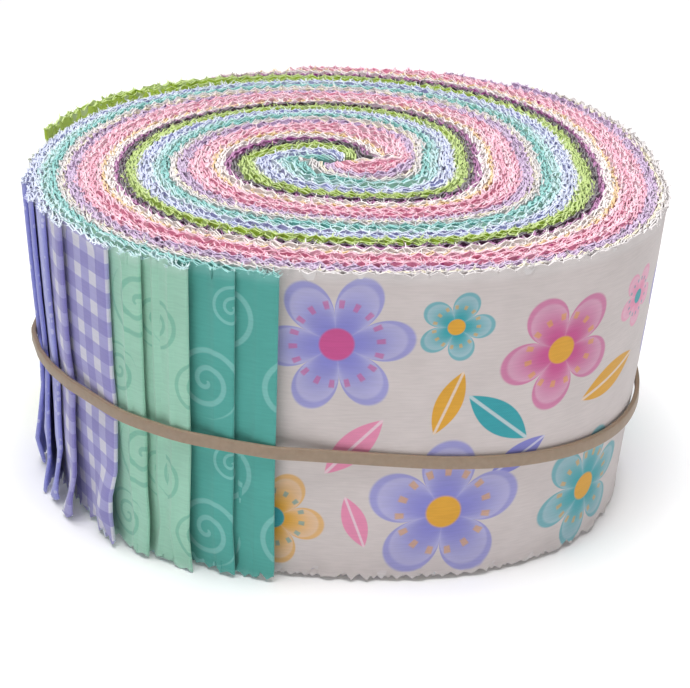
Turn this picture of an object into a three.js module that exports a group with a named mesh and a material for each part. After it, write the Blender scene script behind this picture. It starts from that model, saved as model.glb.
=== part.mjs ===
// A roll of pre-cut quilting strips. About forty pinked cotton strips are folded in half, laid on each
// other as one stack, and wound up anticlockwise (seen from above) round a flat slot. The roll stands on
// its cut edges. Millimetres, +Z up, origin in the middle of the underside.
import * as THREE from 'three';
import { mergeVertices } from 'three/addons/utils/BufferGeometryUtils.js';

// Driving sizes
const stripWidth = 63.5; // the cut width of every strip, so the height of the roll
const slotLength = 6; // half length of the flat slot that the stack is wound round
const slotWidth = 1; // half width of that slot
const slotTurns = 0.3; // where the slot's outline lies, counted in turns of the winding
const turnGap = 0.4; // clear gap between one turn of the stack and the next
const sheetGap = 0.3; // clear gap between a loose end and what lies under it
const bottomDrawIn = 0.055; // share by which the roll is narrower at its foot than at its top
const footShift = { x: -3.4, y: 1.7 }; // how far the foot lies beside the top
const centring = { x: 0.7, y: -2.4 }; // brings the middle of the underside to the origin

// How the winding differs round the roll: for each direction seen from above, the radius at which the
// count of turns begins and the radius that one turn of the stack adds there.
const directions = [
  { at: 0, start: -7.3, perTurn: 23.4 },
  { at: 45, start: -3.1, perTurn: 21.8 },
  { at: 90, start: -0.9, perTurn: 22.4 },
  { at: 135, start: 0.7, perTurn: 23.3 },
  { at: 180, start: 1.5, perTurn: 21.8 },
  { at: 225, start: -2.6, perTurn: 23.0 },
  { at: 270, start: -6.7, perTurn: 24.6 },
  { at: 315, start: -4.9, perTurn: 26.0 },
];

// Loose ends that show round the outside, from the outermost strip inwards. Each ends at a fold, and the
// next one comes out from under it. ends: direction of the fold in degrees; top: how high the strip lies
// in the stack, from 0 at its inside to 1 at its outside.
const looseEnds = [
  { name: 'print_strip', ends: 37, top: 1.0, colour: 0xbeb4b2 },
  { name: 'lilac_strip', ends: 62, top: 0.945, colour: 0x966ea0 },
  { name: 'pink_strip_outer', ends: 84, top: 0.82, colour: 0xf08caa },
  { name: 'pink_strip_inner', ends: 102, top: 0.69, colour: 0xf0a0b4 },
  { name: 'cream_strip', ends: 112, top: 0.56, colour: 0xf5ebe6 },
  { name: 'plum_strip', ends: 120, top: 0.465, colour: 0xa03c8c },
  { name: 'lime_strip', ends: 165, top: 0.385, colour: 0xaac846 },
  { name: 'lavender_strip', ends: 207, top: 0.33, colour: 0xaaafeb },
  { name: 'gingham_strip', ends: 226, top: 0.275, colour: 0xcdc8d7 },
  { name: 'mint_strip_outer', ends: 234.5, top: 0.22, colour: 0xa5d2b9 },
  { name: 'mint_strip_inner', ends: 244.5, top: 0.165, colour: 0x96bea5 },
  { name: 'teal_strip_outer', ends: 253, top: 0.11, colour: 0x5aafa0 },
  { name: 'teal_strip_inner', ends: 261.5, top: 0.055, colour: 0x4ba59b },
];
const wholeTurnsAtEnd = 2; // full turns of the stack before the turn in which its ends show
const tuckedUnder = 8; // degrees by which a loose end reaches back under the one outside it
const tailGap = 0.5; // degrees left clear between the coil and the tail of a loose end

// Teeth of the pinked edges, and the relief of the coil's upper face: how far it drops at each place
// across the stack, as rounded shoulders at both sides and one deep furrow beside the lime strips.
const toothHeight = 1.5;
const toothHalfPitch = 1.5;
const coilStep = 6; // degrees from one section of the coil to the next
const coilStart = -228; // degrees at which the outermost strips begin at the slot
const leastStep = 0.03; // keeps the points of a section apart where the stack is thin
const coilRelief = [
  { across: 0, drop: 1.0 },
  { across: 0.12, drop: 0 },
  { across: 0.31, drop: 0.2 },
  { across: 0.385, drop: 1.4 },
  { across: 0.46, drop: 0.2 },
  { across: 0.86, drop: 0 },
  { across: 1, drop: 1.0 },
];

// Elastic band: a flat ring that lies round the loose ends in a slightly tilted plane
const band = { height: 26.3, tiltX: -0.075, tiltY: -0.016, width: 2.7, thickness: 1.0, step: 4 };

const radians = Math.PI / 180;
const rounding = 1e-6; // slack for comparing shares and angles that should be equal

// Smooth value of one column of the directions, round the whole circle
function around(column, angle) {
  const count = directions.length;
  const place = ((angle / 360) % 1 + 1) % 1 * count;
  const row = Math.floor(place);
  const t = place - row;
  const [a, b, c, d] = [-1, 0, 1, 2].map((k) => directions[(row + k + count) % count][column]);
  return b + 0.5 * t * (c - a + t * (2 * a - 5 * b + 4 * c - d + t * (3 * (b - c) + d - a)));
}

// Radius in the top plane of a place in the winding, at a running angle and a share of the stack
function radiusAt(angle, share) {
  const turns = angle / 360 + share;
  const start = around('start', angle);
  const perTurn = around('perTurn', angle);
  if (turns >= 1) return start + perTurn * turns;
  const c = Math.cos(angle * radians) / slotLength;
  const s = Math.sin(angle * radians) / slotWidth;
  const slot = 1 / Math.hypot(c, s);
  return slot + (start + perTurn - slot) * (turns - slotTurns) / (1 - slotTurns);
}

// Point at an angle and a top-plane radius, brought to its height: the roll narrows towards its foot
function pointAt(angle, radius, z) {
  const depth = 1 - z / stripWidth;
  const r = radius * (1 - bottomDrawIn * depth);
  const x = r * Math.cos(angle * radians) + footShift.x * depth + centring.x;
  const y = r * Math.sin(angle * radians) + footShift.y * depth + centring.y;
  return new THREE.Vector3(x, y, z);
}

// Closed solid through a row of sections with equal counts of points. Open rows get flat end caps.
function solidThrough(sections, capTriangles) {
  const size = sections[0].length;
  const closed = !capTriangles;
  const positions = sections.flat().flatMap((p) => [p.x, p.y, p.z]);
  const indices = [];
  const spans = closed ? sections.length : sections.length - 1;
  for (let i = 0; i < spans; i += 1) {
    const next = (i + 1) % sections.length;
    for (let j = 0; j < size; j += 1) {
      const a = i * size + j;
      const b = i * size + ((j + 1) % size);
      const c = next * size + ((j + 1) % size);
      const d = next * size + j;
      indices.push(a, b, c, a, c, d);
    }
  }
  if (!closed) {
    const last = (sections.length - 1) * size;
    capTriangles.forEach(([a, b, c]) => indices.push(a, c, b, last + a, last + b, last + c));
  }
  const geometry = new THREE.BufferGeometry();
  geometry.setAttribute('position', new THREE.Float32BufferAttribute(positions, 3));
  geometry.setIndex(indices);
  return mergeVertices(geometry);
}

function addMesh(group, name, geometry, colour, roughness) {
  geometry.computeVertexNormals();
  const material = new THREE.MeshStandardMaterial({ color: colour, roughness, metalness: 0 });
  const mesh = new THREE.Mesh(geometry, material);
  mesh.name = name;
  group.add(mesh);
}

// Running angles of the loose ends: where each fold lies and where its tucked tail begins
const lastFold = looseEnds[looseEnds.length - 1].ends;
looseEnds.forEach((end, i) => {
  end.foldAngle = end.ends + 360 * wholeTurnsAtEnd;
  const previousFold = i === 0 ? lastFold + 360 * (wholeTurnsAtEnd - 1) : looseEnds[i - 1].foldAngle;
  end.tailAngle = previousFold - tuckedUnder;
  end.bottom = i + 1 < looseEnds.length ? looseEnds[i + 1].top : 0;
});

// Share of the stack at which the coil's outer face lies: full inside, then stepped down under each end
function coilTop(angle) {
  const over = looseEnds.filter((end) => end.tailAngle <= angle);
  return over.length ? over[over.length - 1].bottom : 1;
}

// One section of the coil, with its points at the shares of the relief that the stack has there
function coilSection(angle, topShare) {
  const lowShare = Math.max(0, slotTurns - angle / 360);
  const places = coilRelief.length - 1;
  const inner = radiusAt(angle, lowShare) + turnGap / 2;
  const outer = radiusAt(angle, topShare) - turnGap / 2;
  const upper = coilRelief.map(({ across, drop }, i) => {
    const radius = radiusAt(angle, across);
    const kept = Math.min(Math.max(radius, inner + leastStep * i), outer - leastStep * (places - i));
    return pointAt(angle, kept, stripWidth - drop);
  });
  return [pointAt(angle, outer, 0), pointAt(angle, inner, 0), ...upper];
}

function coilGeometry() {
  const coilEnd = looseEnds[looseEnds.length - 1].tailAngle - tailGap;
  const angles = new Set();
  const spans = Math.round((coilEnd - coilStart) / coilStep);
  for (let i = 0; i <= spans; i += 1) angles.add(coilStart + ((coilEnd - coilStart) * i) / spans);
  const nearTail = (angle) => looseEnds.some((end) => Math.abs(end.tailAngle - angle) < coilStep / 3);
  const even = [...angles].filter((angle) => angle === coilEnd || !nearTail(angle));
  const rows = even.map((angle) => ({ angle, top: coilTop(angle - rounding) }));
  looseEnds.slice(0, -1).forEach((end, i) => {
    const before = i === 0 ? 1 : looseEnds[i - 1].bottom;
    rows.push({ angle: end.tailAngle - 1.5, top: before });
    rows.push({ angle: end.tailAngle - tailGap, top: end.bottom });
  });
  rows.sort((a, b) => a.angle - b.angle);
  const sections = rows.map(({ angle, top }) => coilSection(angle, top));
  const outline = [[1, 0], [0, 0], ...coilRelief.map(({ across, drop }) => [across, stripWidth - drop])];
  const contour = outline.map(([x, y]) => new THREE.Vector2(x, y));
  const cap = THREE.ShapeUtils.triangulateShape(contour, []).map(([a, b, c]) => [a, c, b]);
  return solidThrough(sections, cap);
}

// A loose end: a thin sheet on the winding, with pinked teeth along its upper and lower edges
function looseEndGeometry({ tailAngle, foldAngle, top, bottom }) {
  const middle = radiusAt(foldAngle, top);
  const steps = Math.round(((foldAngle - tailAngle) * radians * middle) / toothHalfPitch);
  const sections = [];
  for (let i = 0; i <= steps; i += 1) {
    const angle = tailAngle + ((foldAngle - tailAngle) * i) / steps;
    const notch = i % 2 ? toothHeight : 0;
    const inner = radiusAt(angle, bottom) + sheetGap / 2;
    const outer = radiusAt(angle, top) - sheetGap / 2;
    sections.push([
      pointAt(angle, outer, notch),
      pointAt(angle, inner, notch),
      pointAt(angle, inner, stripWidth - notch),
      pointAt(angle, outer, stripWidth - notch),
    ]);
  }
  return solidThrough(sections, [[0, 1, 2], [0, 2, 3]]);
}

// Outermost top-plane radius of the loose ends at an angle round the roll
function outlineAt(angle) {
  const radii = looseEnds.flatMap((end) => [0, 360, 720, 1080]
    .map((turn) => angle + turn)
    .filter((running) => running >= end.tailAngle && running <= end.foldAngle)
    .map((running) => radiusAt(running, end.top)));
  return Math.max(...radii);
}

// Convex outline round the roll in the top plane, as a taut band takes it
function tautOutline() {
  const points = [];
  for (let angle = 0; angle < 360; angle += 1) {
    const radius = outlineAt(angle);
    points.push({ x: radius * Math.cos(angle * radians), y: radius * Math.sin(angle * radians) });
  }
  looseEnds.forEach(({ foldAngle, top }) => {
    const radius = radiusAt(foldAngle, top);
    points.push({ x: radius * Math.cos(foldAngle * radians), y: radius * Math.sin(foldAngle * radians) });
  });
  points.sort((a, b) => a.x - b.x || a.y - b.y);
  const turnsLeft = (a, b, c) => (b.x - a.x) * (c.y - a.y) - (b.y - a.y) * (c.x - a.x) > 0;
  const chain = (list) => list.reduce((kept, point) => {
    while (kept.length > 1 && !turnsLeft(kept[kept.length - 2], kept[kept.length - 1], point)) kept.pop();
    kept.push(point);
    return kept;
  }, []);
  return [...chain(points).slice(0, -1), ...chain([...points].reverse()).slice(0, -1)];
}

// Radius at which a ray from the middle leaves the convex outline
function tautRadius(hull, angle) {
  const dx = Math.cos(angle * radians);
  const dy = Math.sin(angle * radians);
  const hits = hull.map((a, i) => {
    const b = hull[(i + 1) % hull.length];
    const ex = b.x - a.x;
    const ey = b.y - a.y;
    const scale = dx * ey - dy * ex;
    const along = (a.x * ey - a.y * ex) / scale;
    const share = (a.x * dy - a.y * dx) / scale;
    return share >= -rounding && share <= 1 + rounding && along > 0 ? along : 0;
  });
  return Math.max(...hits);
}

function bandGeometry() {
  const hull = tautOutline();
  const folds = looseEnds.map(({ ends }) => ends);
  const angles = [...folds];
  for (let angle = 0; angle < 360; angle += band.step) {
    if (folds.every((fold) => Math.abs(fold - angle) > band.step / 3)) angles.push(angle);
  }
  angles.sort((a, b) => a - b);
  const sections = angles.map((angle) => {
    const inner = tautRadius(hull, angle) + sheetGap;
    const outer = inner + band.thickness;
    const x = inner * Math.cos(angle * radians);
    const y = inner * Math.sin(angle * radians);
    const middle = band.height + band.tiltX * x + band.tiltY * y;
    const low = middle - band.width / 2;
    const high = middle + band.width / 2;
    return [
      pointAt(angle, outer, low),
      pointAt(angle, inner, low),
      pointAt(angle, inner, high),
      pointAt(angle, outer, high),
    ];
  });
  return solidThrough(sections);
}

const roll = new THREE.Group();
const cotton = 0.9;
const rubber = 0.6;
addMesh(roll, 'coiled_stack', coilGeometry(), 0xe6a0be, cotton);
looseEnds.forEach((end) => addMesh(roll, end.name, looseEndGeometry(end), end.colour, cotton));
addMesh(roll, 'elastic_band', bandGeometry(), 0xb9a087, rubber);

export default roll;
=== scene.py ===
import math

import bmesh
import bpy
import numpy as np
from mathutils import Euler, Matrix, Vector
from mathutils.geometry import convex_hull_2d


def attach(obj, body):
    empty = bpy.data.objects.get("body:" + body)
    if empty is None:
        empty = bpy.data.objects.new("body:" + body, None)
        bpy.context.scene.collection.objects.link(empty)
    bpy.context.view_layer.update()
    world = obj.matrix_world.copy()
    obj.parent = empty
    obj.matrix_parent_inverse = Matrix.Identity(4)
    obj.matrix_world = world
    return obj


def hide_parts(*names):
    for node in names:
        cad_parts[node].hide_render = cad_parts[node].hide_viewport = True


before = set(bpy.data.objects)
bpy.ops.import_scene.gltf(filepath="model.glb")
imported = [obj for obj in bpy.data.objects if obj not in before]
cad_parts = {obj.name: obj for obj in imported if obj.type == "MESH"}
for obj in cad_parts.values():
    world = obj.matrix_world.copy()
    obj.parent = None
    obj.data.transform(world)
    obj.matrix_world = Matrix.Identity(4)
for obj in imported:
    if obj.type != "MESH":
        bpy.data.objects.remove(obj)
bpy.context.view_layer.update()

# Studio. The roll stands on a plain pale sheet under a broad overhead softbox, with weaker light from
# both front corners, seen from a little above its rim. Sizes in metres.
CAMERA_PLACE = (0.0012, -0.3740, 0.1903)
CAMERA_DOWN = math.radians(24.2)
CAMERA_ROLL = math.radians(-0.7)
CAMERA_LENS = 101.5
CAMERA_NEAREST = 0.01
LIGHTS_AIM = (0, 0, 0.03)
SURROUND_LIGHT = 0.14
FLOOR_SIZE = 6.0
FLOOR_COLOUR = (0.93, 0.93, 0.935, 1)
FLOOR_GLOW = 0.1
FLOOR_ROUGHNESS = 0.9
SOFTBOXES = [
    # name, place, size, watts
    ("softbox_above", (0.0, -0.08, 0.95), 0.7, 12.6),
    ("softbox_front_left", (-0.75, -0.85, 0.55), 0.6, 0.9),
    ("softbox_front_right", (0.85, -0.70, 0.50), 0.6, 0.6),
]

camera = bpy.data.objects.new("camera", bpy.data.cameras.new("camera"))
camera.data.lens = CAMERA_LENS
camera.data.clip_start = CAMERA_NEAREST
camera.location = CAMERA_PLACE
tilt = Euler((math.pi / 2 - CAMERA_DOWN, 0, 0)).to_matrix()
camera.rotation_euler = (tilt @ Euler((0, 0, CAMERA_ROLL)).to_matrix()).to_euler()
bpy.context.collection.objects.link(camera)
bpy.context.scene.camera = camera
bpy.context.scene.view_settings.view_transform = "Standard"

for name, place, size, watts in SOFTBOXES:
    light = bpy.data.objects.new(name, bpy.data.lights.new(name, "AREA"))
    light.data.size = size
    light.data.energy = watts
    light.location = place
    aim = Vector(LIGHTS_AIM) - Vector(place)
    light.rotation_euler = aim.to_track_quat("-Z", "Y").to_euler()
    bpy.context.collection.objects.link(light)

world = bpy.data.worlds.new("studio")
world.use_nodes = True
backdrop = world.node_tree.nodes["Background"]
backdrop.inputs["Color"].default_value = (1.0, 1.0, 1.0, 1)
backdrop.inputs["Strength"].default_value = SURROUND_LIGHT
bpy.context.scene.world = world

floor_bm = bmesh.new()
bmesh.ops.create_grid(floor_bm, x_segments=1, y_segments=1, size=FLOOR_SIZE / 2)
floor_mesh = bpy.data.meshes.new("floor")
floor_bm.to_mesh(floor_mesh)
floor_bm.free()
floor = bpy.data.objects.new("floor", floor_mesh)
paper = bpy.data.materials.new("pale_paper")
paper.use_nodes = True
shader = paper.node_tree.nodes["Principled BSDF"]
shader.inputs["Base Color"].default_value = FLOOR_COLOUR
shader.inputs["Roughness"].default_value = FLOOR_ROUGHNESS
shader.inputs["Emission Color"].default_value = FLOOR_COLOUR
shader.inputs["Emission Strength"].default_value = FLOOR_GLOW
floor_mesh.materials.append(paper)
bpy.context.collection.objects.link(floor)

# Teal strips, the innermost of the stack: cotton printed in two close tones with curled lines. Like all
# forty strips they are 63.5 mm wide with pinked edges, folded in half, and wound up with the stack round
# a flat slot. Sizes in millimetres; angles in degrees, anticlockwise from above.
STRIPS = 40
STRIP_WIDTH = 63.5
CLOTH = 0.26
FULL_TURNS = 2
PATH_POINTS = 3000
SLOT_CLEAR = 2.0
SLOT = {"middle": (1.5, 0.4), "half_length": 9.0, "half_width": 1.2, "turns": 0.458, "swell": 0.9}
DRAW_IN = 0.055
FOOT_SHIFT = (-3.4, 1.7)
CENTRING = (0.7, -2.4)
DIRECTIONS = [
    # degrees, radius at which the turns begin, radius added by one turn
    (0, -7.3, 23.4),
    (45, -3.1, 21.8),
    (90, -0.9, 22.4),
    (135, 0.7, 23.3),
    (180, 1.5, 21.8),
    (225, -2.6, 23.0),
    (270, -6.7, 24.6),
    (315, -4.9, 26.0),
]
FIRST_FOLD = 37
LAST_FOLD = 260
BAND_PLANE = {"height": 26.3, "tilt_x": -0.075, "tilt_y": -0.016}
BAND_SQUEEZE = {"depth": 0.5, "reach": 3.0, "height": 3.2}


def around(column, angle):
    """Smooth value of one column of the directions at an angle, round the whole circle."""
    values = np.array([row[column] for row in DIRECTIONS], float)
    count = len(values)
    place = (angle / 360.0) % 1.0 * count
    row = np.floor(place).astype(int) % count
    t = place - np.floor(place)
    a, b, c, d = (values[(row + k) % count] for k in (-1, 0, 1, 2))
    return b + 0.5 * t * (c - a + t * (2 * a - 5 * b + 4 * c - d + t * (3 * (b - c) + d - a)))


def slot_radius(angle):
    """Distance from the middle to the outline of the flat slot."""
    (mx, my), a, b = SLOT["middle"], SLOT["half_length"], SLOT["half_width"]
    c, s = np.cos(np.radians(angle)) / a, np.sin(np.radians(angle)) / b
    px, py = mx / a, my / b
    square = c * c + s * s
    along = c * px + s * py
    return (along + np.sqrt(along * along + square * (1 - px * px - py * py))) / square


def winding_radius(angle, share):
    """Radius at the rim's height of a place in the winding: a running angle and a share of the stack."""
    turns = angle / 360.0 + share
    start, per_turn = around(1, angle), around(2, angle)
    slot = slot_radius(angle)
    inward = np.clip((turns - SLOT["turns"]) / (1 - SLOT["turns"]), 0, 1) ** SLOT["swell"]
    return np.where(turns >= 1, start + per_turn * turns, slot + (start + per_turn - slot) * inward)


def depth_below_surface(angle, share):
    """How far a place in the winding lies under the outer face of the roll."""
    fold_end = LAST_FOLD + 360 * (FULL_TURNS - 1)
    running = (angle - fold_end) % 360.0 + fold_end
    first = FIRST_FOLD + 360.0 * FULL_TURNS
    top = np.clip(1 - (running - first) / (LAST_FOLD - FIRST_FOLD), 0, 1)
    return around(2, angle) * (running / 360.0 + top - angle / 360.0 - share)


def stand(angle, radius, z):
    """Point in metres: the roll narrows a little towards its foot and leans."""
    low = 1 - z / STRIP_WIDTH
    r = radius * (1 - DRAW_IN * low)
    x = r * np.cos(np.radians(angle)) + FOOT_SHIFT[0] * low + CENTRING[0]
    y = r * np.sin(np.radians(angle)) + FOOT_SHIFT[1] * low + CENTRING[1]
    return np.stack([x, y, z], -1) / 1000.0


def ease(x):
    """0 up to 0, 1 from 1 on, smooth between them."""
    x = np.clip(x, 0, 1)
    return x * x * (3 - 2 * x)


def band_height(x, y):
    """Height of the middle of the elastic band, which lies in a slightly tilted plane."""
    return BAND_PLANE["height"] + BAND_PLANE["tilt_x"] * x + BAND_PLANE["tilt_y"] * y


# Teeth of the pinked edges: what wear leaves of each, what is left of those on top, and how far a tip
# leans in or out, which fades out over the first millimetres behind a fold.
TOOTH_HEIGHT = 1.4
TOOTH_HALF_PITCH = 1.5
TOOTH_WORN = (0.35, 1.1)
TOOTH_ON_TOP = 0.6
TOOTH_LEAN = 0.3
LEAN_FROM, LEAN_OVER = 1.5, 3.0

# The end of a strip: its layers close over CLOSING behind the fold, with a pressed crease at CREASE_AT;
# it stands loose, puffs out at its foot and stands proud on top over so many degrees before the fold.
CLOSING = 6.0
CREASE_AT, CREASE_WIDTH = 3.4, 0.7
NEAR_FOLD = [1.2, 2.4, 2.9, 3.4, 3.9, 4.4]
LOOSE_OVER = 14.0
FOOT_OVER, FOOT_HEIGHT = 12.0, 27.0
PROUD_OVER = 60.0

# The rows of a strip's mesh lie closer together near its foot. Each layer lies LAYER_APART of the strip's
# room from its middle. The print starts CUT_FROM along the cloth, and CUT_STEP farther for each place.
ROWS = {"first": 0.04, "span": 0.92, "growth": 1.3}
LAYER_APART = 0.25
CUT_FROM, CUT_STEP = 2000.0, 37.0

# A face is printed when it looks out, and at the nose also when it looks along the turn. One that looks up
# or down by more than CUT_FACE belongs to a cut edge. Edges sharper than SHARP_FROM are shaded sharp.
ALONG_COUNTS = 0.4
CUT_FACE = 0.6
SHARP_FROM = math.radians(40)

# How unevenly the strips lie: the most by which one stands higher, and soft waves along its upper edge,
# in its puffed foot and in the whole roll.
STANDS_HIGHER = 0.7
TOP_WAVE = {"height": 0.2, "per_radian": 1.7}
FOOT_WAVE = {"depth": 0.3, "length": 3.1, "per_degree": 0.45, "sideways": 0.5, "sideways_length": 4.3}
ROLL_WAVE = {"depth": 0.25, "lobes": 3, "length": 17.0, "full_from": 60.0}
random_lift = np.random.default_rng(7)


def strip_path(share, fold_angle):
    """Angles along a strip's way from the slot to its fold, and the length run up to each."""
    first_angle = 360.0 * (SLOT["turns"] - share) + SLOT_CLEAR
    path = np.linspace(first_angle, fold_angle, PATH_POINTS)
    radius = winding_radius(path, share)
    steps = np.hypot(np.diff(radius), np.radians(np.diff(path)) * (radius[1:] + radius[:-1]) / 2)
    return path, np.concatenate([[0], np.cumsum(steps)])


def strip_columns(half, nose):
    """Places along a strip: the tip and notch of each tooth, and closer ones round and beside the fold."""
    teeth = np.linspace(0, 2 * half, 2 * round(half / TOOTH_HALF_PITCH) + 1)
    quarter_turn = nose * math.pi / 2
    round_tip = np.array([0.25, 0.5, 0.75, 1.0]) * quarter_turn
    near_fold = np.concatenate([round_tip, quarter_turn + np.array(NEAR_FOLD)])
    return np.unique(np.concatenate([teeth, half - near_fold, half + near_fold]))


def layer_offset(angle):
    """How far a layer lies from the middle of its strip, where the stack is closed."""
    return LAYER_APART * around(2, angle) / STRIPS + CLOTH / 2


def pinked_teeth(along, half, column, row, rows):
    """How far each vertex lies from the cut edge's tips, and how far its tooth leans in or out."""
    tooth_count = along / (half / round(half / TOOTH_HALF_PITCH)) / 2
    which = np.floor(tooth_count).astype(int)
    upper = (row > rows / 2).astype(int)
    worn = random_lift.uniform(*TOOTH_WORN, (which.max() + 1, 2))[which, upper]
    lean = random_lift.normal(0, TOOTH_LEAN, (column.max() + 1, 2))[column, upper]
    notch = TOOTH_HEIGHT * worn * np.where(row == rows, TOOTH_ON_TOP, 1.0)
    return notch * np.abs(tooth_count % 1.0 - 0.5) * 2, lean


def thicken(bm, cut_from):
    """Give a sheet the cloth's thickness; the printed side gets the first material, the rest the second."""
    cloth = bm.loops.layers.uv["cloth"]
    bm.normal_update()
    bmesh.ops.solidify(bm, geom=bm.faces[:], thickness=CLOTH / 1000.0)
    bm.normal_update()
    for face in bm.faces:
        face.smooth = True
        out = face.calc_center_median().xy.normalized()
        folded_under = face.loops[0][cloth].uv.x + face.loops[2][cloth].uv.x < 2 * cut_from / 1000.0
        facing = face.normal.xy.dot(out) * (-1 if folded_under else 1)
        facing += ALONG_COUNTS * face.normal.xy.dot(Vector((-out.y, out.x)))
        face.material_index = 0 if facing > 0 and abs(face.normal.z) < CUT_FACE else 1


def wound_strip(name, place, fold_at, nose=0.3, loose=0.3, puff=0.0, proud=0.0, ridge=0.0, rows=3):
    """One folded strip, as a thin closed sheet: out from the slot to its fold, and back under itself.

    place counts the strips from the inside of the stack. nose is half the fold's thickness, loose and
    puff are how far its end and the foot of its end stand off, proud is how far its upper edge stands
    over the others, and ridge is the height of a pressed crease beside the fold.
    """
    share = (place + 0.5) / STRIPS
    fold_angle = fold_at + 360.0 * FULL_TURNS
    path, run = strip_path(share, fold_angle)
    half = run[-1]

    columns = strip_columns(half, nose)
    levels = ROWS["first"] + ROWS["span"] * np.linspace(0, 1, rows - 1) ** ROWS["growth"]
    levels = np.concatenate([[0], levels, [1]])
    bm = bmesh.new()
    bm.loops.layers.uv.new("cloth")
    bmesh.ops.create_grid(bm, x_segments=len(columns) - 1, y_segments=rows, size=1, calc_uvs=True)
    grid = np.array([v.co[:2] for v in bm.verts])
    column = np.rint((grid[:, 0] + 1) / 2 * (len(columns) - 1)).astype(int)
    row = np.rint((grid[:, 1] + 1) / 2 * rows).astype(int)
    along = columns[column]
    across = levels[row]

    # the fold: a quarter turn on each side of its tip, then two layers that close behind it
    from_tip = np.abs(along - half)
    quarter_turn = nose * math.pi / 2
    turn = np.clip(from_tip / nose, 0, math.pi / 2)
    setback = nose * (1 - np.cos(turn)) + np.clip(from_tip - quarter_turn, 0, None)
    angle = np.interp(half - setback, run, path)
    to_fold = fold_angle - angle
    resting = layer_offset(fold_angle)
    closing = ease((from_tip - quarter_turn) / CLOSING)
    closed = nose + (resting - nose) * closing
    gap = np.where(from_tip <= quarter_turn, nose * np.sin(turn), closed)
    layer_gap = np.where(closing >= 1, layer_offset(angle), gap)
    side = np.where(along <= half, 1.0, -1.0)
    stands_off = np.clip(nose - resting, 0, None) * (1 - closing) + loose * ease(1 - to_fold / LOOSE_OVER)

    # heights: the teeth, the strip's own level, a wave along its upper edge
    tooth, lean = pinked_teeth(along, half, column, row, rows)
    lean = lean * ease((from_tip - LEAN_FROM) / LEAN_OVER)
    z = across * STRIP_WIDTH
    z = np.where(row == 0, tooth, z)
    z = np.where(row == rows, STRIP_WIDTH - tooth, z)
    level = random_lift.uniform(0.0, STANDS_HIGHER)
    phase = random_lift.uniform(0, 2 * math.pi)
    top_wave = TOP_WAVE["height"] * np.sin(np.radians(angle) * TOP_WAVE["per_radian"] + phase) * across
    z = z + level + top_wave + TOP_WAVE["height"] * across
    z = z + proud * ease(1 - to_fold / PROUD_OVER) * across

    # radii: the place in the winding, the fold and its puffed foot, and the furrow under the band
    r = winding_radius(angle, share)
    depth = depth_below_surface(angle, share)
    outer = np.exp(-np.clip(depth, 0, None) / BAND_SQUEEZE["reach"])
    seat = band_height(r * np.cos(np.radians(angle)), r * np.sin(np.radians(angle)))
    under_band = np.exp(-((z - seat) / BAND_SQUEEZE["height"]) ** 2)
    r = r + side * layer_gap + stands_off
    r = r + ridge * np.exp(-(((from_tip - quarter_turn - CREASE_AT) / CREASE_WIDTH) ** 2)) * (side > 0)
    foot = ease(1 - to_fold / FOOT_OVER) * ease(1 - z / FOOT_HEIGHT)
    wave = np.sin(z / FOOT_WAVE["length"] + phase + to_fold * FOOT_WAVE["per_degree"])
    r = r + puff * foot * (1 - FOOT_WAVE["depth"] + FOOT_WAVE["depth"] * wave)
    sideways = np.sin(z / FOOT_WAVE["sideways_length"] + phase)
    angle = angle + puff * FOOT_WAVE["sideways"] * foot * sideways
    r = r + np.where((row == 0) | (row == rows), lean, 0.0)
    r = r - BAND_SQUEEZE["depth"] * outer * under_band
    roll_wave = np.sin(np.radians(angle) * ROLL_WAVE["lobes"] + z / ROLL_WAVE["length"])
    r = r + ROLL_WAVE["depth"] * roll_wave * np.clip(r / ROLL_WAVE["full_from"], 0, 1)

    points = stand(angle, r, z)
    bm.verts.index_update()
    for vertex, point in zip(bm.verts, points):
        vertex.co = point
    cloth = bm.loops.layers.uv["cloth"]
    cut_from = CUT_FROM + CUT_STEP * place
    for face in bm.faces:
        for loop in face.loops:
            i = loop.vert.index
            loop[cloth].uv = ((half - along[i] + cut_from) / 1000.0, z[i] / 1000.0)
    thicken(bm, cut_from)

    mesh = bpy.data.meshes.new(name)
    bm.to_mesh(mesh)
    bm.free()
    mesh.set_sharp_from_angle(angle=SHARP_FROM)
    strip = bpy.data.objects.new(name, mesh)
    bpy.context.collection.objects.link(strip)
    on_top = (row == rows) & (np.abs(setback) < half - 3)
    return strip, points[on_top]


# Loose ends of yarn lie over the upper cut edges; each is a flat sliver with its tip thrown to one side.
FRAY_LENGTH = 1.1
FRAY_LENGTHS = (0.4, 1.3)
FRAY_RISES = (0.0, 0.7)
FRAY_WIDTH = 0.19
FRAY_TAPER = 0.6
FRAY_PER_POINT = 2.3
FRAY_ROOTED = 0.3
FRAY_REACH = 0.85
FRAY_SUNK = 0.12
SAME_PLACE = 1e-7
random_fray = np.random.default_rng(11)


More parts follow.
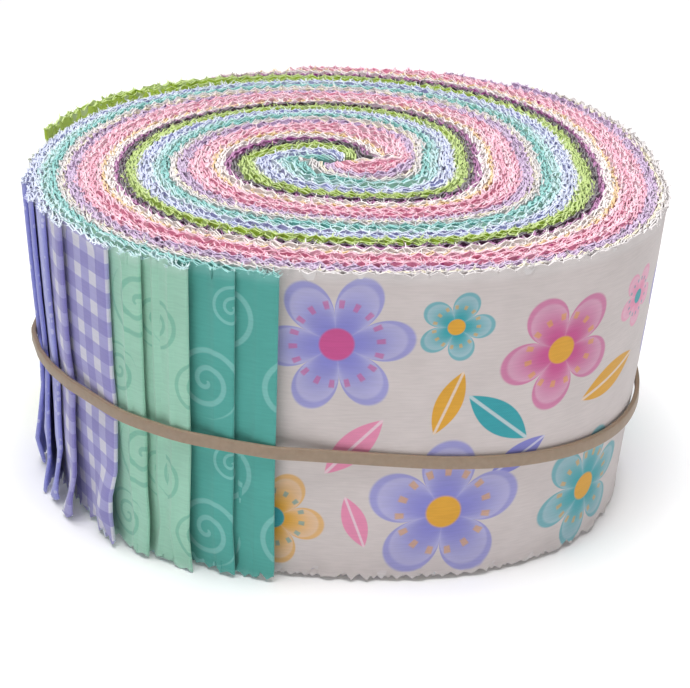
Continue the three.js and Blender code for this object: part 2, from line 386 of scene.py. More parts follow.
def frayed_threads(name, edge_points):
    """Slivers of yarn on points of the upper edges, which are in metres."""
    count = int(len(edge_points) * FRAY_PER_POINT)
    root = edge_points[random_fray.choice(len(edge_points), count)] * 1000.0
    bm = bmesh.new()
    bmesh.ops.create_grid(bm, x_segments=count, y_segments=1, size=1)
    lengthwise = [e for e in bm.edges if abs(e.verts[0].co.x - e.verts[1].co.x) < SAME_PLACE]
    bmesh.ops.split_edges(bm, edges=lengthwise)
    grid = np.array([v.co[:2] for v in bm.verts])
    middle = np.array([v.link_faces[0].calc_center_median().x for v in bm.verts])
    which = np.clip(((middle + 1) / 2 * count).astype(int), 0, count - 1)
    right = grid[:, 0] > middle
    up = (grid[:, 1] + 1) / 2

    away = np.arctan2(root[:, 1], root[:, 0])
    heading = away + random_fray.uniform(-math.pi, math.pi, count)
    length = FRAY_LENGTH * random_fray.uniform(*FRAY_LENGTHS, count)
    rise = random_fray.uniform(*FRAY_RISES, count)
    way = np.stack([np.cos(heading), np.sin(heading)], -1)[which]
    side = np.stack([-np.sin(heading), np.cos(heading)], -1)[which]
    out = (up * length[which])[:, None]
    lift = (rise[which] * length[which] * up)[:, None]
    width = (FRAY_WIDTH * (np.where(right, 0.5, -0.5)) * (1 - FRAY_TAPER * up))[:, None]
    base = root[which]
    flat = base[:, :2] + way * (out - FRAY_ROOTED) * FRAY_REACH + side * width
    high = base[:, 2:] - FRAY_SUNK + lift
    for vertex, point in zip(bm.verts, np.concatenate([flat, high], 1) / 1000.0):
        vertex.co = point

    mesh = bpy.data.meshes.new(name)
    bm.to_mesh(mesh)
    bm.free()
    fray = bpy.data.objects.new(name, mesh)
    bpy.context.collection.objects.link(fray)
    return fray


# The weave: fine threads both ways, now and then a thick one, and cut edges frayed to a pale fuzz, with
# painted shade in the gaps between the threads. Sizes in metres.
THREAD = 0.00036
FRAYED_WIDTH = 0.0022
FRAYED_SHARE = 0.45
SLUBS_PER_METRE = (250.0, 2600.0, 1.0)
CLOUDS_PER_METRE = 90.0
FLECK_EDGE = (0.3, 0.45)
# slub and cloud are random tone of the yarn; thread is painted shade, darker in the gaps between the
# threads
SHADES = {"deepest": 0.20, "slub": 0.07, "cloud": 0.06, "thread": 0.06}
SLUB_RANGE = (0.25, 0.75)
CLOUD_RANGE = (0.3, 0.7)
FADED = (0.9, 0.88, 0.9, 1)
BLACK = (0.0, 0.0, 0.0, 1)


def feed(tree, target, value):
    """Give an input a value of its own, or link another node's output to it."""
    if isinstance(value, bpy.types.NodeSocket):
        tree.links.new(value, target)
    else:
        target.default_value = value


def add_node(tree, kind, settings=None, **inputs):
    """A node with its settings; its inputs are named, or i0, i1 and so on by number."""
    node = tree.nodes.new(kind)
    for key, value in (settings or {}).items():
        setattr(node, key, value)
    for key, value in inputs.items():
        by_number = key[0] == "i" and key[1:].isdigit()
        feed(tree, node.inputs[int(key[1:]) if by_number else key], value)
    return node


def maths(tree, operation, a, b=0.0):
    return add_node(tree, "ShaderNodeMath", {"operation": operation}, i0=a, i1=b).outputs[0]


def blend(tree, share, a, b):
    """Colour a, going over to colour b as share goes to 1."""
    node = add_node(tree, "ShaderNodeMix", {"data_type": "RGBA"}, i0=share, i6=a, i7=b)
    return node.outputs[2]


def between(tree, value, low, high):
    """0 below low, 1 above high, smooth between them."""
    smooth = {"interpolation_type": "SMOOTHSTEP"}
    return add_node(tree, "ShaderNodeMapRange", smooth, i0=value, i1=low, i2=high).outputs[0]


def opposite(tree, value):
    return maths(tree, "SUBTRACT", 1.0, value)


def cloth_place(tree):
    """Where a spot lies on its strip, in metres: both ways at once, along it, and across it."""
    uv = add_node(tree, "ShaderNodeUVMap", {"uv_map": "cloth"})
    parts = add_node(tree, "ShaderNodeSeparateXYZ", i0=uv.outputs[0])
    return uv.outputs[0], parts.outputs[0], parts.outputs[1]


def new_group(name, inputs, outputs):
    tree = bpy.data.node_groups.new(name, "ShaderNodeTree")
    for kind, title, value in inputs:
        tree.interface.new_socket(name=title, in_out="INPUT", socket_type=kind).default_value = value
    for kind, title in outputs:
        tree.interface.new_socket(name=title, in_out="OUTPUT", socket_type=kind)
    return tree, tree.nodes.new("NodeGroupInput"), tree.nodes.new("NodeGroupOutput")


COLOUR, NUMBER = "NodeSocketColor", "NodeSocketFloat"
weave, given, result = new_group(
    "plain_weave",
    [
        (COLOUR, "Cloth", (1, 1, 1, 1)),
        (COLOUR, "Fleck", (0.5, 0.5, 0.5, 1)),
        (NUMBER, "Fleck cover", 0.0),
        (NUMBER, "Fleck size", 0.0012),
        (NUMBER, "Fade", 0.0),
    ],
    [(COLOUR, "Colour"), (NUMBER, "Height")],
)
place, u, v = cloth_place(weave)
warp = maths(weave, "SINE", maths(weave, "MULTIPLY", u, 2 * math.pi / THREAD))
weft = maths(weave, "SINE", maths(weave, "MULTIPLY", v, 2 * math.pi / THREAD))
thread = maths(weave, "MULTIPLY", warp, weft)
stretch = {"operation": "MULTIPLY"}
slub_place = add_node(weave, "ShaderNodeVectorMath", stretch, i0=place, i1=SLUBS_PER_METRE)
slub = add_node(weave, "ShaderNodeTexNoise", i0=slub_place.outputs[0], Scale=1.0, Detail=2.0)
cloud = add_node(weave, "ShaderNodeTexNoise", i0=place, Scale=CLOUDS_PER_METRE, Detail=3.0)

fleck_scale = maths(weave, "DIVIDE", 1.0, given.outputs["Fleck size"])
fleck_cells = add_node(weave, "ShaderNodeTexVoronoi", i0=place, Scale=fleck_scale, Randomness=1.0)
fleck_pick = add_node(weave, "ShaderNodeSeparateColor", i0=fleck_cells.outputs["Color"])
fleck_here = maths(weave, "LESS_THAN", fleck_pick.outputs[0], given.outputs["Fleck cover"])
fleck_dot = opposite(weave, between(weave, fleck_cells.outputs["Distance"], *FLECK_EDGE))
fleck_mask = maths(weave, "MULTIPLY", fleck_here, fleck_dot)
printed = blend(weave, fleck_mask, given.outputs["Cloth"], given.outputs["Fleck"])
pale = blend(weave, given.outputs["Fade"], printed, FADED)

from_top = maths(weave, "SUBTRACT", STRIP_WIDTH / 1000.0, v)
from_edge = maths(weave, "MINIMUM", v, from_top)
edge_share = opposite(weave, between(weave, from_edge, 0.0, FRAYED_WIDTH))
lightened = add_node(weave, "ShaderNodeGamma", Color=pale, Gamma=0.5)
frayed_share = maths(weave, "MULTIPLY", edge_share, FRAYED_SHARE)
fuzzy = blend(weave, frayed_share, pale, lightened.outputs[0])

slub_shade = maths(weave, "MULTIPLY", between(weave, slub.outputs[0], *SLUB_RANGE), SHADES["slub"])
cloud_shade = maths(weave, "MULTIPLY", between(weave, cloud.outputs[0], *CLOUD_RANGE), SHADES["cloud"])
# painted shade: the cloth is darker in the gaps between the threads and lighter on their tops
painted_gap_shade = maths(weave, "MULTIPLY", maths(weave, "ABSOLUTE", thread), SHADES["thread"])
light = maths(weave, "ADD", maths(weave, "ADD", slub_shade, cloud_shade), painted_gap_shade)
shaded = blend(weave, maths(weave, "SUBTRACT", SHADES["deepest"], light), fuzzy, BLACK)
weave.links.new(shaded, result.inputs["Colour"])
relief = maths(weave, "ADD", maths(weave, "MULTIPLY", thread, 0.5), slub.outputs[0])
weave.links.new(relief, result.inputs["Height"])

# Cotton has a soft, dull face; its loose yarn takes a part of the cloth's own tone, of a paler one, and
# of the brightest of its three colours.
COTTON_FACE = {"Roughness": 0.85, "Sheen Weight": 0.25, "Specular IOR Level": 0.25}
COTTON_RELIEF = {"Strength": 0.35, "Distance": 0.00006}
YARN_OWN, YARN_PALE, YARN_BRIGHT = 0.25, 0.4, 0.35
YARN_ROUGHNESS = 0.9


def colour(red, green, blue):
    """A colour as seen, 0 to 255, as the linear values that a shader takes."""
    seen = [c / 255.0 for c in (red, green, blue)]
    return tuple(c / 12.92 if c <= 0.04045 else ((c + 0.055) / 1.055) ** 2.4 for c in seen) + (1.0,)


def cotton(name, cloth, fleck=(1, 1, 1, 1), cover=0.0, size=0.0012, fade=0.0, pattern=None):
    """Woven cotton in one colour, or with a pattern: a function that adds it and gives its colour."""
    material = bpy.data.materials.new(name)
    material.use_nodes = True
    tree = material.node_tree
    shader = tree.nodes["Principled BSDF"]
    woven = tree.nodes.new("ShaderNodeGroup")
    woven.node_tree = weave
    values = {"Cloth": cloth, "Fleck": fleck, "Fleck cover": cover, "Fleck size": size, "Fade": fade}
    for key, value in values.items():
        woven.inputs[key].default_value = value
    if pattern:
        tree.links.new(pattern(tree), woven.inputs["Cloth"])
    tree.links.new(woven.outputs["Colour"], shader.inputs["Base Color"])
    bump = add_node(tree, "ShaderNodeBump", Height=woven.outputs["Height"], **COTTON_RELIEF)
    tree.links.new(bump.outputs[0], shader.inputs["Normal"])
    for key, value in COTTON_FACE.items():
        shader.inputs[key].default_value = value
    return material


def frayed(name, cloth):
    """Loose yarn in a paler tone of a cloth's colour."""
    material = bpy.data.materials.new(name)
    material.use_nodes = True
    shader = material.node_tree.nodes["Principled BSDF"]
    seen = cloth.default_value[:3]
    paler = [YARN_OWN * c + YARN_PALE * math.sqrt(c) + YARN_BRIGHT * max(seen) for c in seen]
    shader.inputs["Base Color"].default_value = (*paler, 1.0)
    shader.inputs["Roughness"].default_value = YARN_ROUGHNESS
    return material


laid = []


def lay_strips(kind, first_place, folds, nodes, slot, finish, **shape):
    """Strips of one cloth on the stack, from the inside outwards, each over the one laid before it."""
    face, reverse = finish
    edges = []
    for i, fold_at in enumerate(folds):
        strip, edge = wound_strip(f"{kind}_strip_{i + 1}", first_place + i, fold_at, **shape)
        edges.append(edge)
        strip.data.materials.append(face)
        strip.data.materials.append(reverse)
        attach(strip, "root")
        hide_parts("coiled_stack", nodes[min(i, len(nodes) - 1)])
        laid.append(strip)
    fray = frayed_threads(f"{kind}_fray", np.concatenate(edges))
    reverse_colour = reverse.node_tree.nodes["Group"].inputs["Cloth"]
    fray.data.materials.append(frayed(f"{kind}_frayed_yarn", reverse_colour))
    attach(fray, "root")
    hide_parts("coiled_stack")


TEAL, TEAL_LINE = colour(88, 178, 168), colour(140, 208, 202)
CURL_REPEAT = (0.046, 0.0318)
CURL_TURNS = 2.2
CURL_LINE = (0.10, 0.20)
CURL_END = (0.93, 1.0)
CURL_STRENGTH = 0.75
CURLS = [
    # place in the repeat, radius, first angle
    (0.0100, 0.0090, 0.0078, 0.3),
    (0.0300, 0.0075, 0.0058, 2.1),
    (0.0240, 0.0228, 0.0075, 4.0),
    (0.0046, 0.0248, 0.0046, 1.2),
    (0.0400, 0.0195, 0.0058, 5.2),
]

MOTIF_PLACE = [
    (NUMBER, "U", 0.0),
    (NUMBER, "V", 0.0),
    (NUMBER, "Centre U", 0.0),
    (NUMBER, "Centre V", 0.0),
    (NUMBER, "Turn", 0.0),
]


def from_centre(tree, given):
    """How far a spot lies from a motif's centre, along the strip and across it."""
    du = maths(tree, "SUBTRACT", given.outputs["U"], given.outputs["Centre U"])
    dv = maths(tree, "SUBTRACT", given.outputs["V"], given.outputs["Centre V"])
    return du, dv


def round_centre(tree, given):
    """Distance from a motif's centre as a share of its radius, and heading with its turn."""
    du, dv = from_centre(tree, given)
    square = maths(tree, "ADD", maths(tree, "MULTIPLY", du, du), maths(tree, "MULTIPLY", dv, dv))
    share = maths(tree, "DIVIDE", maths(tree, "SQRT", square), given.outputs["Radius"])
    heading = maths(tree, "ADD", maths(tree, "ARCTAN2", dv, du), given.outputs["Turn"])
    return share, heading


def motif(tree, group, values):
    """One motif of a print: what its group puts out for the given values and outputs."""
    node = tree.nodes.new("ShaderNodeGroup")
    node.node_tree = group
    for key, value in values.items():
        feed(tree, node.inputs[key], value)
    return node.outputs[0]


curl, given, result = new_group("curled_line", MOTIF_PLACE + [(NUMBER, "Radius", 0.01)], [(NUMBER, "Line")])
share, heading = round_centre(curl, given)
turns = maths(curl, "DIVIDE", heading, 2 * math.pi)
wound = maths(curl, "MULTIPLY", share, CURL_TURNS)
spiral = maths(curl, "FRACT", maths(curl, "SUBTRACT", wound, turns))
off_line = maths(curl, "ABSOLUTE", maths(curl, "SUBTRACT", spiral, 0.5))
line = opposite(curl, between(curl, off_line, *CURL_LINE))
inside = opposite(curl, between(curl, share, *CURL_END))
curl.links.new(maths(curl, "MULTIPLY", line, inside), result.inputs["Line"])


def curled(ground, line_colour):
    """A pattern of curls that repeats both ways, in two close tones."""

    def pattern(tree):
        _, u, v = cloth_place(tree)
        u = maths(tree, "FLOORED_MODULO", u, CURL_REPEAT[0])
        v = maths(tree, "FLOORED_MODULO", v, CURL_REPEAT[1])
        lines = 0.0
        for cu, cv, radius, turn in CURLS:
            values = {"U": u, "V": v, "Centre U": cu, "Centre V": cv, "Radius": radius, "Turn": turn}
            lines = maths(tree, "MAXIMUM", motif(tree, curl, values), lines)
        return blend(tree, maths(tree, "MULTIPLY", lines, CURL_STRENGTH), ground, line_colour)

    return pattern


teal = (
    cotton("teal_curls", TEAL, pattern=curled(TEAL, TEAL_LINE)),
    cotton("teal_reverse", colour(112, 202, 196), fade=0.1),
)
teal_nodes = ["teal_strip_inner", "teal_strip_inner", "teal_strip_outer"]
lay_strips("teal", 0, [257, 260, 252.5], teal_nodes, "teal_cotton", teal,
           nose=0.5, loose=0.7, puff=0.9, ridge=0.2, rows=7)

# Mint strips. Cotton with the same curled print in two tones of mint; their folds end left of the teal
# ones, each with a pressed crease beside it.
MINT, MINT_LINE = colour(168, 220, 196), colour(128, 196, 172)
mint = (
    cotton("mint_curls", MINT, pattern=curled(MINT, MINT_LINE)),
    cotton("mint_reverse", colour(176, 224, 226), fade=0.1),
)
mint_nodes = ["mint_strip_inner", "mint_strip_inner", "mint_strip_outer"]
lay_strips("mint", 3, [241, 244.5, 235.2], mint_nodes, "mint_cotton", mint,
           nose=0.5, loose=0.8, puff=1.4, ridge=0.6, rows=8)

# Gingham strips. A woven check of lavender and white, palest where both light stripes cross; the feet
# of their folds stand off in waves.
CHECK = 0.0059
CHECK_STRIPE = (0.22, 0.25)
CHECK_DARK = colour(150, 144, 208)
CHECK_MID = colour(174, 170, 222)
CHECK_LIGHT = colour(222, 220, 236)


def gingham(tree):
    _, u, v = cloth_place(tree)
    light = []
    for way in (u, v):
        place = maths(tree, "FRACT", maths(tree, "DIVIDE", way, CHECK))
        off_middle = maths(tree, "ABSOLUTE", maths(tree, "SUBTRACT", place, 0.5))
        light.append(opposite(tree, between(tree, off_middle, *CHECK_STRIPE)))
    either = blend(tree, maths(tree, "MAXIMUM", light[0], light[1]), CHECK_DARK, CHECK_MID)
    return blend(tree, maths(tree, "MULTIPLY", light[0], light[1]), either, CHECK_LIGHT)


check = (
    cotton("lavender_gingham", CHECK_MID, pattern=gingham),
    cotton("gingham_reverse", colour(212, 226, 242), fade=0.1),
)
lay_strips("gingham", 6, [228, 214], ["gingham_strip"], "gingham_cotton", check,
           nose=0.5, loose=0.7, puff=3.6, rows=11)

# Lavender strips and one pale one. Plain dyed cotton with a faint pale fleck, on the left of the roll,
# where the feet of the folds puff out.
LAVENDER, LAVENDER_FLECK = colour(165, 168, 235), colour(205, 207, 246)
lavender = (
    cotton("lavender_cotton", LAVENDER, LAVENDER_FLECK, cover=0.35, size=0.0014),
    cotton("lavender_reverse", colour(200, 210, 244), fade=0.15),
)
lay_strips("lavender", 8, [207, 200, 191], ["lavender_strip"], "lavender_cotton", lavender,
           nose=0.45, loose=0.6, puff=3.2, rows=10)
PALE, PALE_FLECK = colour(232, 238, 215), colour(180, 205, 190)
pale_cloth = (
    cotton("pale_cotton", PALE, PALE_FLECK, cover=0.3, size=0.0016),
    cotton("pale_reverse", PALE, fade=0.2),
)
lay_strips("pale", 11, [177], ["lavender_strip"], "lavender_cotton", pale_cloth,
           nose=0.38, loose=0.4, rows=5)

# Lime strips. Plain lime cotton with a darker fleck; their upper edges stand a little proud at the back
# left, where the folds end.
LIME, LIME_FLECK = colour(172, 206, 40), colour(132, 168, 20)
lime = (
    cotton("lime_cotton", LIME, LIME_FLECK, cover=0.35, size=0.0011),
    cotton("lime_reverse", LIME, fade=0.18),
)
lay_strips("lime", 12, [165, 155, 143, 129], ["lime_strip"], "lime_cotton", lime,
           nose=0.35, loose=0.4, proud=1.5, rows=4)

# Dark and plum strips. Two of nearly black plum cotton with pale dots, then two of bright plum; they
# draw the dark line that follows the lime strips round the roll.
DARK, DARK_FLECK = colour(44, 16, 36), colour(150, 110, 130)
PLUM, PLUM_FLECK = colour(172, 50, 150), colour(86, 18, 76)
dark = (
    cotton("dark_plum_cotton", DARK, DARK_FLECK, cover=0.18, size=0.0016),
    cotton("dark_plum_reverse", DARK, fade=0.15),
)
plum = (
    cotton("plum_cotton", PLUM, PLUM_FLECK, cover=0.4, size=0.0013),
    cotton("plum_reverse", PLUM, fade=0.18),
)
lay_strips("dark_plum", 16, [121, 120], ["plum_strip"], "plum_cotton", dark, rows=4)
lay_strips("plum", 18, [118.5, 116.5], ["plum_strip"], "plum_cotton", plum, rows=4)

# Cream and gold strips. Three of cream cotton with a sparse pink fleck, and one gold strip with brown
# specks; they draw the pale line outside the plum one.
CREAM, CREAM_FLECK = colour(250, 236, 232), colour(240, 170, 190)
GOLD, GOLD_FLECK = colour(240, 190, 92), colour(130, 70, 40)
cream = (
    cotton("cream_cotton", CREAM, CREAM_FLECK, cover=0.2, size=0.0013),
    cotton("cream_reverse", CREAM, fade=0.2),
)
gold = (
    cotton("gold_cotton", GOLD, GOLD_FLECK, cover=0.2, size=0.0015),
    cotton("gold_reverse", GOLD, fade=0.2),
)
lay_strips("cream", 20, [114.5, 112, 109.5], ["cream_strip"], "cream_cotton", cream, rows=4)
lay_strips("gold", 23, [107], ["cream_strip"], "cream_cotton", gold, rows=4)

# Pink strips, the widest part of the stack. Rose and light pink cottons in turn, some with a magenta
# fleck.
ROSE, LIGHT_PINK, MAGENTA = colour(246, 134, 172), colour(251, 184, 206), colour(205, 50, 140)
rose = (
    cotton("rose_cotton", ROSE, MAGENTA, cover=0.18, size=0.0014),
    cotton("rose_reverse", ROSE, MAGENTA, cover=0.2, size=0.0012, fade=0.3),
)
light_pink = (
    cotton("light_pink_cotton", LIGHT_PINK, ROSE, cover=0.3, size=0.0014),
    cotton("light_pink_reverse", LIGHT_PINK, ROSE, cover=0.3, size=0.0014, fade=0.4),
)
lay_strips("light_pink", 24, [104, 100], ["pink_strip_inner"], "pink_cotton", light_pink, rows=4)
lay_strips("rose", 26, [96, 92, 88], ["pink_strip_inner", "pink_strip_inner", "pink_strip_outer"],
           "pink_cotton", rose, rows=4)
lay_strips("pale_rose", 29, [84, 80], ["pink_strip_outer"], "pink_cotton", light_pink, rows=4)
lay_strips("deep_rose", 31, [76, 72], ["pink_strip_outer"], "pink_cotton", rose, rows=4)

# Speckled lilac strips and a cream-yellow one. Pale lilac cotton with dark purple specks, which give
# the roll its dark dotted rings.
LILAC, LILAC_FLECK = colour(205, 170, 215), colour(70, 34, 78)
BUTTER, BUTTER_FLECK = colour(245, 232, 190), colour(170, 160, 110)
lilac = (
    cotton("speckled_lilac_cotton", LILAC, LILAC_FLECK, cover=0.38, size=0.0013),
    cotton("speckled_lilac_reverse", LILAC, LILAC_FLECK, cover=0.5, size=0.0014, fade=0.1),
)
butter = (
    cotton("butter_cotton", BUTTER, BUTTER_FLECK, cover=0.25, size=0.0015),
    cotton("butter_reverse", BUTTER, fade=0.2),
)
lay_strips("speckled_lilac", 33, [68, 63, 58, 53], ["lilac_strip"], "lilac_cotton", lilac, rows=4)
lay_strips("butter", 37, [48], ["lilac_strip"], "lilac_cotton", butter, rows=4)

# Printed strips, the outermost of the stack. White cotton with a large loose print of simple blossoms
# and leaves in lavender, magenta, teal and gold; it faces out from the front left to the back right.
GROUND = colour(220, 210, 208)
PRINT_REPEAT = 0.176
PRINT_LAVENDER, PRINT_MAGENTA = colour(140, 140, 214), colour(208, 88, 150)
PRINT_TEAL, PRINT_GOLD, PRINT_PINK = colour(60, 168, 178), colour(232, 172, 62), colour(240, 150, 185)
BLOSSOMS = [
    # along, up, radius, petals, turn, colour, heart
    (0.0270, 0.046, 0.0125, 5, 0.2, PRINT_MAGENTA, PRINT_GOLD),
    (0.0470, 0.015, 0.0155, 5, 0.9, PRINT_LAVENDER, PRINT_GOLD),
    (0.0690, 0.050, 0.0145, 6, 0.1, PRINT_LAVENDER, PRINT_MAGENTA),
    (0.0800, 0.013, 0.0105, 5, 0.5, PRINT_GOLD, PRINT_TEAL),
    (0.1010, 0.037, 0.0150, 5, 1.3, PRINT_MAGENTA, PRINT_GOLD),
    (0.1270, 0.052, 0.0105, 6, 0.4, PRINT_GOLD, PRINT_MAGENTA),
    (0.1320, 0.016, 0.0155, 5, 0.0, PRINT_TEAL, PRINT_GOLD),
    (0.1590, 0.043, 0.0145, 5, 0.7, PRINT_LAVENDER, PRINT_PINK),
    (0.0145, 0.013, 0.0130, 6, 0.3, PRINT_TEAL, PRINT_GOLD),
    (0.1030, 0.0135, 0.0060, 5, 0.8, PRINT_PINK, PRINT_GOLD),
    (0.0480, 0.0535, 0.0072, 5, 0.6, PRINT_TEAL, PRINT_GOLD),
    (0.0060, 0.0505, 0.0065, 5, 0.4, PRINT_PINK, PRINT_TEAL),
    (0.1530, 0.0080, 0.0055, 6, 0.0, PRINT_LAVENDER, PRINT_GOLD),
]
LEAVES = [
    # along, up, half length, half width, turn, colour
    (0.0380, 0.034, 0.0085, 0.0032, 0.7, PRINT_TEAL),
    (0.0900, 0.053, 0.0090, 0.0034, -0.5, PRINT_TEAL),
    (0.0650, 0.029, 0.0080, 0.0030, 2.3, PRINT_PINK),
    (0.1160, 0.018, 0.0075, 0.0030, 1.2, PRINT_LAVENDER),
    (0.1450, 0.036, 0.0085, 0.0032, -0.9, PRINT_PINK),
    (0.0120, 0.036, 0.0085, 0.0032, -0.3, PRINT_GOLD),
    (0.1620, 0.018, 0.0095, 0.0038, 0.4, PRINT_TEAL),
    (0.0480, 0.038, 0.0070, 0.0026, 1.9, PRINT_GOLD),
    (0.0330, 0.0250, 0.0065, 0.0025, 2.6, PRINT_LAVENDER),
    (0.0640, 0.0130, 0.0060, 0.0024, 1.2, PRINT_PINK),
]

PETAL_POINT = 0.6
PETAL_NOTCH = 0.42
PETAL_EDGE = (0.95, 1.0)
PETAL_WASH = {"from": 0.2, "to": 1.05, "share": 0.45}
PETAL_RIM = {"from": 0.84, "to": 0.9, "share": 0.55}
PETAL_WHITE = (0.9, 0.85, 0.92, 1)
DOT_RING = {"at": 0.55, "edge": (0.04, 0.07), "per_half_petal": 6.0, "gap": (0.3, 0.6), "share": 0.6}
HEART_EDGE = (0.2, 0.24)
VEIN_EDGE = (0.06, 0.14)
VEIN_SHARE = 0.6
LEAF_EDGE = (0.0, 0.08)

blossom, given, result = new_group(
    "blossom",
    MOTIF_PLACE
    + [
        (NUMBER, "Radius", 0.01),
        (NUMBER, "Petals", 5.0),
        (COLOUR, "Under", (1, 1, 1, 1)),
        (COLOUR, "Petal", (1, 0, 0, 1)),
        (COLOUR, "Heart", (1, 1, 0, 1)),
    ],
    [(COLOUR, "Colour")],
)
share, heading = round_centre(blossom, given)
petal_turn = maths(blossom, "MULTIPLY", heading, given.outputs["Petals"])
half_petal = maths(blossom, "MULTIPLY", petal_turn, 0.5)
bulge = maths(blossom, "ABSOLUTE", maths(blossom, "COSINE", half_petal))
bulge = maths(blossom, "MULTIPLY", maths(blossom, "POWER", bulge, PETAL_POINT), 1 - PETAL_NOTCH)
reach = maths(blossom, "ADD", bulge, PETAL_NOTCH)
fill = maths(blossom, "DIVIDE", share, reach)
petal = opposite(blossom, between(blossom, fill, *PETAL_EDGE))

wash = between(blossom, fill, PETAL_WASH["from"], PETAL_WASH["to"])
wash = maths(blossom, "MULTIPLY", wash, PETAL_WASH["share"])
washed = blend(blossom, wash, given.outputs["Petal"], PETAL_WHITE)
rim = between(blossom, fill, PETAL_RIM["from"], PETAL_RIM["to"])
rim = maths(blossom, "MULTIPLY", rim, PETAL_RIM["share"])
edged = blend(blossom, rim, washed, given.outputs["Petal"])
off_ring = maths(blossom, "ABSOLUTE", maths(blossom, "SUBTRACT", share, DOT_RING["at"]))
dot_turn = maths(blossom, "COSINE", maths(blossom, "MULTIPLY", half_petal, DOT_RING["per_half_petal"]))
on_ring = opposite(blossom, between(blossom, off_ring, *DOT_RING["edge"]))
dots = maths(blossom, "MULTIPLY", on_ring, between(blossom, dot_turn, *DOT_RING["gap"]))
dots = maths(blossom, "MULTIPLY", dots, DOT_RING["share"])
dotted = blend(blossom, dots, edged, given.outputs["Heart"])
heart = opposite(blossom, between(blossom, share, *HEART_EDGE))
hearted = blend(blossom, heart, dotted, given.outputs["Heart"])
blossom.links.new(blend(blossom, petal, given.outputs["Under"], hearted), result.inputs["Colour"])

leaf, given, result = new_group(
    "leaf",
    MOTIF_PLACE
    + [
        (NUMBER, "Half length", 0.01),
        (NUMBER, "Half width", 0.004),
        (COLOUR, "Under", (1, 1, 1, 1)),
        (COLOUR, "Leaf", (0, 1, 0, 1)),
    ],
    [(COLOUR, "Colour")],
)
du, dv = from_centre(leaf, given)
cosine, sine = (maths(leaf, way, given.outputs["Turn"]) for way in ("COSINE", "SINE"))
along = maths(leaf, "ADD", maths(leaf, "MULTIPLY", du, cosine), maths(leaf, "MULTIPLY", dv, sine))
aside = maths(leaf, "SUBTRACT", maths(leaf, "MULTIPLY", dv, cosine), maths(leaf, "MULTIPLY", du, sine))
lengthwise = maths(leaf, "DIVIDE", along, given.outputs["Half length"])
belly = opposite(leaf, maths(leaf, "MULTIPLY", lengthwise, lengthwise))
sideways = maths(leaf, "ABSOLUTE", maths(leaf, "DIVIDE", aside, given.outputs["Half width"]))
blade = between(leaf, maths(leaf, "SUBTRACT", belly, sideways), *LEAF_EDGE)
vein = opposite(leaf, between(leaf, sideways, *VEIN_EDGE))
veined = blend(leaf, maths(leaf, "MULTIPLY", vein, VEIN_SHARE), given.outputs["Leaf"], FADED)
leaf.links.new(blend(leaf, blade, given.outputs["Under"], veined), result.inputs["Colour"])


def flower_print(tree):
    """Leaves, then blossoms over them, on the ground colour; it repeats along the strip."""
    _, u, v = cloth_place(tree)
    u = maths(tree, "FLOORED_MODULO", u, PRINT_REPEAT)
    shown = GROUND
    for cu, cv, length, width, turn, tint in LEAVES:
        where = {"Under": shown, "U": u, "V": v, "Centre U": cu, "Centre V": cv, "Turn": turn}
        form = {"Half length": length, "Half width": width, "Leaf": tint}
        shown = motif(tree, leaf, {**where, **form})
    for cu, cv, radius, petals, turn, tint, middle in BLOSSOMS:
        where = {"Under": shown, "U": u, "V": v, "Centre U": cu, "Centre V": cv, "Turn": turn}
        form = {"Radius": radius, "Petals": petals, "Petal": tint, "Heart": middle}
        shown = motif(tree, blossom, {**where, **form})
    return shown


printed_cloth = (
    cotton("flower_print_cotton", GROUND, pattern=flower_print),
    cotton("flower_print_reverse", GROUND, fade=0.3),
)
lay_strips("printed", 38, [42, 37], ["print_strip"], "printed_cotton", printed_cloth, rows=8)

# Elastic band. A flat ring of tan rubber, 2.5 mm wide, slipped over the roll at mid height; it lies on
# the strips and bridges the steps at their folds.
BAND_WIDTH = 2.5
BAND_THICKNESS = 0.9
BAND_CLEAR = 0.12
BAND_STEPS = 240
BAND_WAVE = 0.25
BAND_ROUNDING = 0.25
TOUCHED_WITHIN = 5.5
ON_THE_LINE = 1e-4
MERGED_WITHIN = 1e-5
RUBBER_FACE = {"Roughness": 0.55, "Subsurface Weight": 0.15, "Subsurface Scale": 0.001}
RUBBER_DUST = {"Scale": 900.0, "Detail": 3.0}
RUBBER_RELIEF = {"Strength": 0.2, "Distance": 0.00005}

spots = []
for strip in laid:
    co = np.empty(len(strip.data.vertices) * 3, np.float32)
    strip.data.vertices.foreach_get("co", co)
    co = co.reshape(-1, 3) * 1000.0
    seat = band_height(co[:, 0], co[:, 1])
    near = np.abs(co[:, 2] - seat) < TOUCHED_WITHIN
    narrower = (1 - DRAW_IN * (1 - seat / STRIP_WIDTH)) / (1 - DRAW_IN * (1 - co[:, 2] / STRIP_WIDTH))
    spots.append((co[:, :2] * narrower[:, None])[near])
spots = np.concatenate(spots)
hull = spots[convex_hull_2d([Vector(p) for p in spots])]
ahead = np.roll(hull, -1, axis=0)


def taut_radius(angle):
    """Where a ray from the middle leaves the taut outline round the strips."""
    way = np.array([math.cos(angle), math.sin(angle)])
    edge = ahead - hull
    scale = way[0] * edge[:, 1] - way[1] * edge[:, 0]
    out = (hull[:, 0] * edge[:, 1] - hull[:, 1] * edge[:, 0]) / scale
    share = (hull[:, 0] * way[1] - hull[:, 1] * way[0]) / scale
    return out[(share > -ON_THE_LINE) & (share < 1 + ON_THE_LINE) & (out > 0)].max()


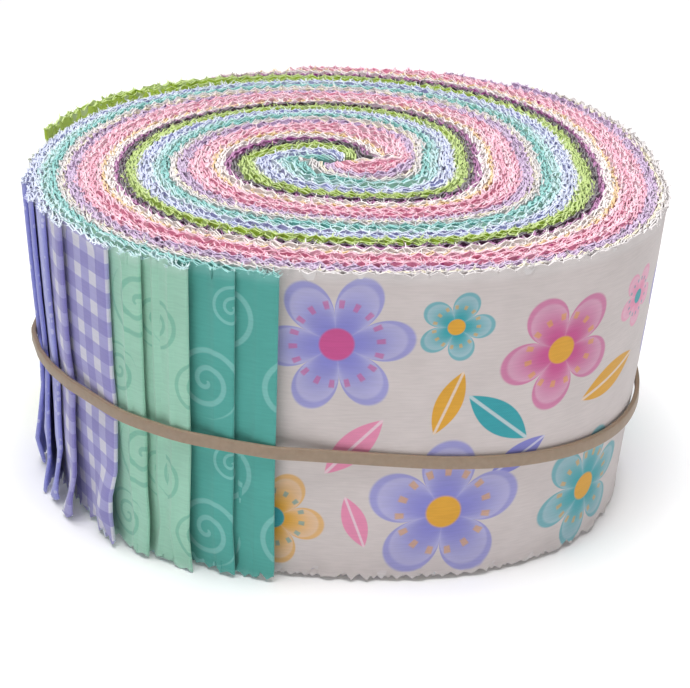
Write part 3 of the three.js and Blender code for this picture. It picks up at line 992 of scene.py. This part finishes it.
# First a ring with a square section, 1 to 2 from the middle and 0 to 1 high; then each corner moves to its
# place on the strips.
bm = bmesh.new()
corners = [bm.verts.new((1 + dr, 0, dz)) for dr, dz in ((0, 0), (1, 0), (1, 1), (0, 1))]
profile = [bm.edges.new((a, b)) for a, b in zip(corners, corners[1:] + corners[:1])]
bmesh.ops.spin(bm, geom=corners + profile, cent=(0, 0, 0), axis=(0, 0, 1), angle=2 * math.pi,
               steps=BAND_STEPS, use_merge=True)
bmesh.ops.remove_doubles(bm, verts=bm.verts, dist=MERGED_WITHIN)
bmesh.ops.recalc_face_normals(bm, faces=bm.faces)
for vertex in bm.verts:
    angle = math.atan2(vertex.co.y, vertex.co.x)
    outside = vertex.co.xy.length > (1 + 2) / 2
    high = vertex.co.z > 0.5
    radius = taut_radius(angle) + BAND_CLEAR + (BAND_THICKNESS if outside else 0)
    x, y = radius * math.cos(angle), radius * math.sin(angle)
    z = band_height(x, y) + (0.5 if high else -0.5) * BAND_WIDTH
    z += BAND_WAVE * math.sin(3 * angle + 1.0)
    vertex.co = (x / 1000.0, y / 1000.0, z / 1000.0)
sharp = [e for e in bm.edges if e.calc_face_angle(0) > 1.0]
bmesh.ops.bevel(bm, geom=sharp, offset=BAND_ROUNDING / 1000.0, segments=2, profile=0.5,
                affect="EDGES", material=-1)
for face in bm.faces:
    face.smooth = True
band_mesh = bpy.data.meshes.new("elastic_ring")
bm.to_mesh(band_mesh)
bm.free()
band = bpy.data.objects.new("elastic_ring", band_mesh)
bpy.context.collection.objects.link(band)

rubber = bpy.data.materials.new("tan_rubber")
rubber.use_nodes = True
tree = rubber.node_tree
shader = tree.nodes["Principled BSDF"]
where = add_node(tree, "ShaderNodeTexCoord")
dusty = add_node(tree, "ShaderNodeTexNoise", i0=where.outputs["Object"], **RUBBER_DUST)
tone = blend(tree, dusty.outputs[0], colour(164, 143, 122), colour(142, 122, 102))
tree.links.new(tone, shader.inputs["Base Color"])
grain = add_node(tree, "ShaderNodeBump", Height=dusty.outputs[0], **RUBBER_RELIEF)
tree.links.new(grain.outputs[0], shader.inputs["Normal"])
for key, value in RUBBER_FACE.items():
    shader.inputs[key].default_value = value
band_mesh.materials.append(rubber)
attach(band, "root")
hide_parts("elastic_band")
